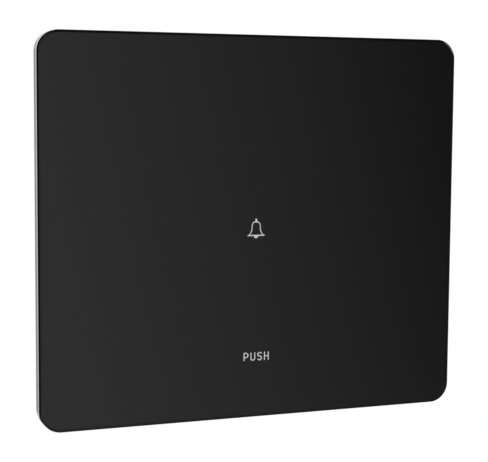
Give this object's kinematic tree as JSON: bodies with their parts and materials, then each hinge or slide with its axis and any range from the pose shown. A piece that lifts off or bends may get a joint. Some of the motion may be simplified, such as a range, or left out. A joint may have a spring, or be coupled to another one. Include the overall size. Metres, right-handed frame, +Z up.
{
  "type": "doorbell push button",
  "caption": "Flush wall doorbell push: a rounded black glass plate on a thin silver rim floats on sprung posts in front of a moulded base with a switch chamber behind the wall.",
  "frame": {"origin": "midway between the two wall box screws, on the plane of the wall", "axes": "+X to the right of someone facing the plate, +Y into the wall, +Z up; the glass faces -Y"},
  "size_m": [0.099, 0.0292, 0.086],
  "materials": {
    "black_glass": "polished",
    "black_tape": "matte",
    "satin_aluminium": "satin",
    "black_moulding": "fine texture",
    "clear_acrylic": "polished",
    "grey_moulding": "fine texture",
    "white_acetal": "smooth",
    "spring_steel": "drawn",
    "silicone": "matte",
    "zinc_screw": "zinc plated",
    "board_laminate": "solder resist",
    "black_nylon": "moulded",
    "tinned_steel": "tin plated",
    "ivory_plastic": "moulded",
    "lamp_white": "clear window",
    "black_epoxy": "moulded",
    "grey_nylon": "moulded",
    "nickel_brass": "nickel plated"
  },
  "bodies": {
    "housing": {"base_housing": "grey_moulding", "guide_bushes": "white_acetal", "return_springs": "spring_steel", "bumpers": "silicone", "rear_cover": "grey_moulding", "cover_screws": "zinc_screw", "circuit_board": "board_laminate", "board_screws": "zinc_screw", "switch_body": "black_nylon", "switch_cover": "tinned_steel", "plunger_spring": "spring_steel", "contact_studs": "nickel_brass", "switch_pins": "tinned_steel", "lamp": "lamp_white", "chip_resistors": "black_epoxy", "bridge_rectifier": "black_epoxy", "terminal_block": "grey_nylon", "terminal_clamps": "nickel_brass", "terminal_screws": "zinc_screw"},
    "push_cap": {"front_glass": "black_glass", "bonding_tape": "black_tape", "rim_frame": "satin_aluminium", "key_carrier": "black_moulding", "light_guide": "clear_acrylic"},
    "plunger": {"switch_plunger": "ivory_plastic", "contact_disc": "nickel_brass"}
  },
  "joints": [
    {"name": "cap_push", "type": "slide", "parent": "housing", "child": "push_cap", "axis": [0, 1, 0], "range_m": [0, 0.001], "stiffness_N_per_m": 2000, "springref_m": -0.001, "deforming": ["return_springs"]},
    {"name": "plunger_slide", "type": "slide", "parent": "housing", "child": "plunger", "axis": [0, 1, 0], "range_m": [0, 0.001], "stiffness_N_per_m": 200, "springref_m": -0.001, "deforming": ["plunger_spring"]}
  ],
  "couplings": [
    {"joint": "plunger_slide", "follows": "cap_push", "ratio": 1}
  ]
}
